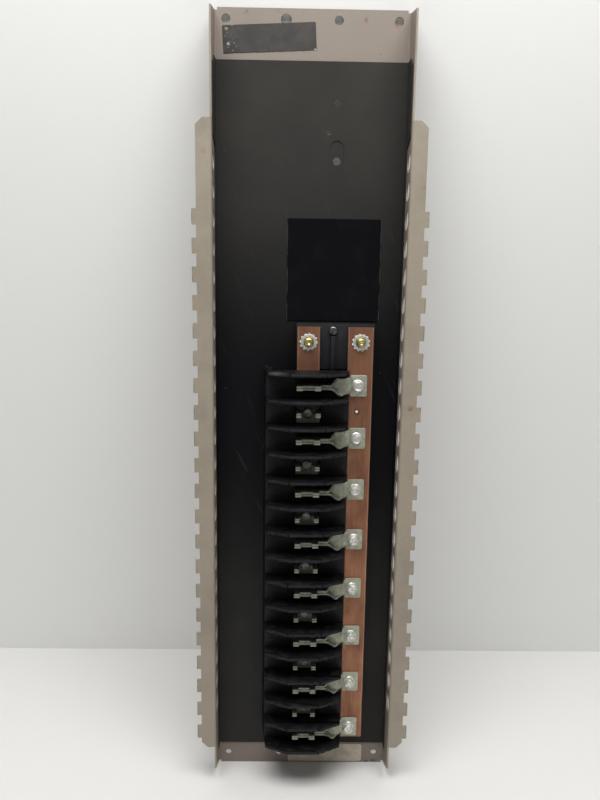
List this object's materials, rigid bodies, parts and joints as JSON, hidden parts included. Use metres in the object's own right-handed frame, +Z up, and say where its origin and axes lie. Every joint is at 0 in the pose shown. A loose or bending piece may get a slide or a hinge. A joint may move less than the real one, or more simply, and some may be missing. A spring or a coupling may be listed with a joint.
{
  "type": "panelboard interior",
  "caption": "Circuit-breaker panel interior: folded steel pan with notched rails, insulating liner, two copper bus bars, moulded barriers and plug-on stabs.",
  "frame": {"origin": "middle of the pan's flat back face", "axes": "+Z up the pan towards the feeder end, +X to the right seen from the front, front towards -Y"},
  "size_m": [0.159, 0.0392, 0.562],
  "materials": {
    "pan_paint": "satin",
    "liner_fibre": "satin",
    "pad_sheet": "gloss",
    "bus_copper": "satin",
    "tinned_copper": "satin",
    "black_moulding": "satin",
    "zinc_steel": "satin",
    "black_screw_steel": "satin",
    "stud_brass": "satin",
    "plate_foil": "satin",
    "label_paper": "matte"
  },
  "bodies": {
    "root": {"back_pan": "pan_paint", "floor_liner": "liner_fibre", "main_breaker_pad": "pad_sheet", "left_bus_bar": "bus_copper", "right_bus_bar": "bus_copper", "end_standoff": "black_moulding", "rating_plate": "plate_foil", "lower_label": "label_paper", "left_feeder_stud": "stud_brass", "right_feeder_stud": "stud_brass", "feeder_lock_washers": "zinc_steel", "standoff_screws": "black_screw_steel", "right_stab_screws": "zinc_steel", "left_stab_screws": "zinc_steel", "bar_standoff_1": "black_moulding", "bar_standoff_2": "black_moulding", "bar_standoff_3": "black_moulding", "bar_standoff_4": "black_moulding", "barrier_block_1": "black_moulding", "barrier_block_2": "black_moulding", "barrier_block_3": "black_moulding", "barrier_block_4": "black_moulding", "barrier_block_5": "black_moulding", "barrier_block_6": "black_moulding", "barrier_block_7": "black_moulding", "barrier_block_8": "black_moulding", "right_stab_1": "tinned_copper", "right_stab_2": "tinned_copper", "right_stab_3": "tinned_copper", "right_stab_4": "tinned_copper", "right_stab_5": "tinned_copper", "right_stab_6": "tinned_copper", "right_stab_7": "tinned_copper", "right_stab_8": "tinned_copper", "left_stab_1": "tinned_copper", "left_stab_2": "tinned_copper", "left_stab_3": "tinned_copper", "left_stab_4": "tinned_copper", "left_stab_5": "tinned_copper", "left_stab_6": "tinned_copper", "left_stab_7": "tinned_copper"}
  },
  "joints": []
}
